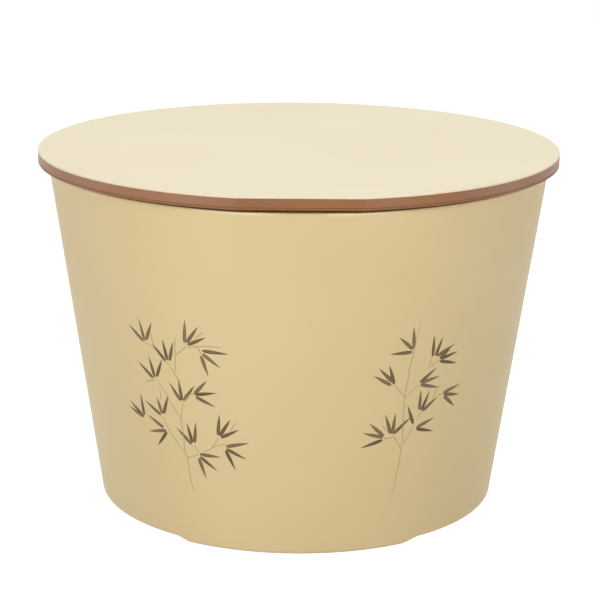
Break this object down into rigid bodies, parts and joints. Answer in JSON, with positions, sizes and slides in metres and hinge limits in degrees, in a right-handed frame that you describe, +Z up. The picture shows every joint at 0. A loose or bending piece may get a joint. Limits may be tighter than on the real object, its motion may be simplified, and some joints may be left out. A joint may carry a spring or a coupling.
{
  "type": "rice tub",
  "caption": "Round insulated rice tub with a tapered double wall and low feet, closed by a flat lift-off lid board that has a straight front edge.",
  "frame": {"origin": "on the tub's axis at the floor that the feet stand on", "axes": "+Z up along the tub's axis, -Y towards the printed front with the lid's straight edge, +X to the right as seen from the front"},
  "size_m": [0.36, 0.3556, 0.2497],
  "materials": {
    "tub_plastic": "satin",
    "liner_plastic": "satin",
    "lid_top_plastic": "satin",
    "lid_edge_plastic": "satin",
    "insulating_foam": "matte",
    "core_wood": "matte"
  },
  "bodies": {
    "tub": {"outer_shell": "tub_plastic", "inner_liner": "liner_plastic", "foam_fill": "insulating_foam", "port_plugs": "tub_plastic"},
    "lid": {"lid_top_sheet": "lid_top_plastic", "lid_edge_band": "lid_edge_plastic", "lid_bottom_sheet": "lid_edge_plastic", "lid_core_strips": "core_wood", "lid_insert_tray": "liner_plastic", "lid_insert_foam": "insulating_foam"}
  },
  "joints": [
    {"name": "lid_lift", "type": "slide", "parent": "tub", "child": "lid", "axis": [0, 0, 1], "range_m": [0, 0.25]}
  ]
}
